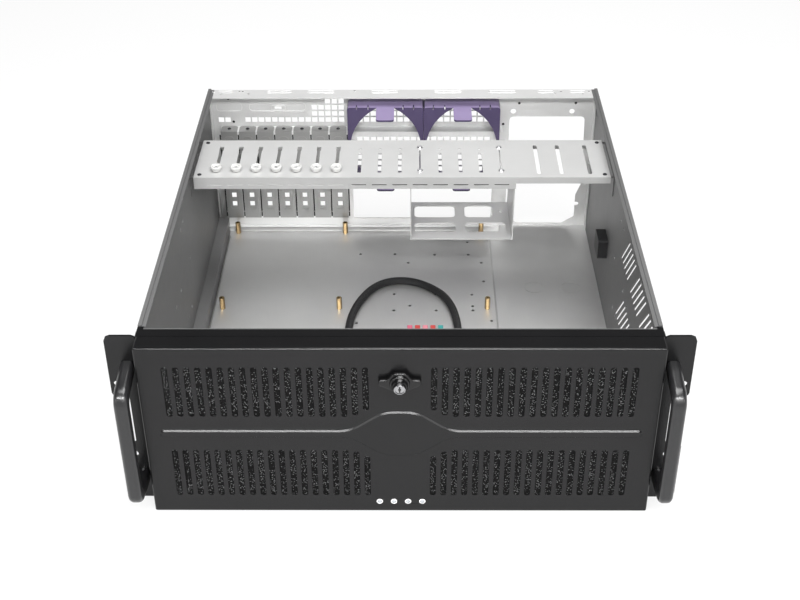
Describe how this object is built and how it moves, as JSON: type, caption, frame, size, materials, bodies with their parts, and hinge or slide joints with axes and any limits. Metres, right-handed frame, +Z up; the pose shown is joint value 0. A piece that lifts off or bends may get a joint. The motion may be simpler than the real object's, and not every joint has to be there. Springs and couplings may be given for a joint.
{
  "type": "empty rackmount server case",
  "caption": "Open-topped steel rack case with a drop-down vented front door, lifting handles, a crossbeam with card hold-downs, snap-in fan frames and expansion slot covers.",
  "frame": {"origin": "middle of the footprint, at the underside", "axes": "+X to the right seen from the front, +Y towards the rear panel, +Z up"},
  "size_m": [0.4826, 0.508, 0.177],
  "materials": {
    "black_steel": "fine textured black powder coat",
    "bare_steel": "galvanised sheet, satin",
    "purple_plastic": "moulded, satin",
    "brass": "turned, bright",
    "chrome": "polished",
    "zinc": "zinc plated",
    "black_plastic": "moulded",
    "black_gloss": "moulded, glossy",
    "white_nylon": "moulded",
    "foam": "open-cell foam",
    "clear_lens": "clear moulded",
    "circuit_board": "lacquered",
    "sleeve": "braided sleeve",
    "plug_plastic": "moulded"
  },
  "bodies": {
    "chassis": {"left_side_wall": "bare_steel", "right_side_wall": "bare_steel", "floor_pan": "bare_steel", "left_floor_rail": "bare_steel", "rear_panel": "bare_steel", "slot_cover_screws": "zinc", "board_standoffs": "brass", "crossbeam": "bare_steel", "beam_bracket_left": "bare_steel", "beam_bracket_right": "bare_steel", "beam_screws": "zinc", "drive_bracket": "bare_steel", "bracket_screws": "zinc", "fan_holder_left": "purple_plastic", "fan_holder_right": "purple_plastic", "wall_block": "black_plastic", "front_panel": "black_steel", "front_stiffener": "bare_steel", "ear_left": "black_steel", "ear_right": "black_steel", "handle_left": "black_steel", "handle_right": "black_steel", "ear_screws": "zinc", "handle_screws": "zinc", "front_board": "circuit_board", "switches": "black_plastic", "front_leds": "clear_lens", "board_spacers": "brass", "front_cable": "sleeve", "board_plug": "black_plastic", "cable_comb": "black_plastic", "front_plugs": "plug_plastic", "slot_cover_1": "bare_steel", "slot_cover_2": "bare_steel", "slot_cover_3": "bare_steel", "slot_cover_4": "bare_steel", "slot_cover_5": "bare_steel", "slot_cover_6": "bare_steel", "slot_cover_7": "bare_steel"},
    "door": {"front_door": "black_steel", "hinge_pins": "zinc", "filters_left": "foam", "filters_right": "foam", "light_pipes": "clear_lens"},
    "lock": {"lock_knob": "black_gloss", "key_barrel": "chrome", "lock_cam": "zinc", "cam_nut": "zinc"},
    "power_button": {"power_button": "black_plastic"},
    "reset_button": {"reset_button": "black_plastic"},
    "hold_down_1": {"hold_down_1": "white_nylon"},
    "hold_down_2": {"hold_down_2": "white_nylon"},
    "hold_down_3": {"hold_down_3": "white_nylon"},
    "hold_down_4": {"hold_down_4": "white_nylon"},
    "hold_down_5": {"hold_down_5": "white_nylon"},
    "hold_down_6": {"hold_down_6": "white_nylon"},
    "hold_down_7": {"hold_down_7": "white_nylon"}
  },
  "joints": [
    {"name": "door_hinge", "type": "hinge", "parent": "chassis", "child": "door", "pos_m": [0, -0.2235, 0.0065], "axis": [1, 0, 0], "range_deg": [0, 80]},
    {"name": "lock_turn", "type": "hinge", "parent": "door", "child": "lock", "pos_m": [0, -0.23, 0.1455], "axis": [0, 1, 0], "range_deg": [0, 90]},
    {"name": "power_press", "type": "slide", "parent": "chassis", "child": "power_button", "axis": [0, 1, 0], "range_m": [0, 0.002], "stiffness_N_per_m": 600, "springref_m": -0.001},
    {"name": "reset_press", "type": "slide", "parent": "chassis", "child": "reset_button", "axis": [0, 1, 0], "range_m": [0, 0.002], "stiffness_N_per_m": 600, "springref_m": -0.001},
    {"name": "hold_down_1_slide", "type": "slide", "parent": "chassis", "child": "hold_down_1", "axis": [0, 1, 0], "range_m": [0, 0.047]},
    {"name": "hold_down_2_slide", "type": "slide", "parent": "chassis", "child": "hold_down_2", "axis": [0, 1, 0], "range_m": [0, 0.047]},
    {"name": "hold_down_3_slide", "type": "slide", "parent": "chassis", "child": "hold_down_3", "axis": [0, 1, 0], "range_m": [0, 0.047]},
    {"name": "hold_down_4_slide", "type": "slide", "parent": "chassis", "child": "hold_down_4", "axis": [0, 1, 0], "range_m": [0, 0.047]},
    {"name": "hold_down_5_slide", "type": "slide", "parent": "chassis", "child": "hold_down_5", "axis": [0, 1, 0], "range_m": [0, 0.047]},
    {"name": "hold_down_6_slide", "type": "slide", "parent": "chassis", "child": "hold_down_6", "axis": [0, 1, 0], "range_m": [0, 0.047]},
    {"name": "hold_down_7_slide", "type": "slide", "parent": "chassis", "child": "hold_down_7", "axis": [0, 1, 0], "range_m": [0, 0.047]}
  ]
}
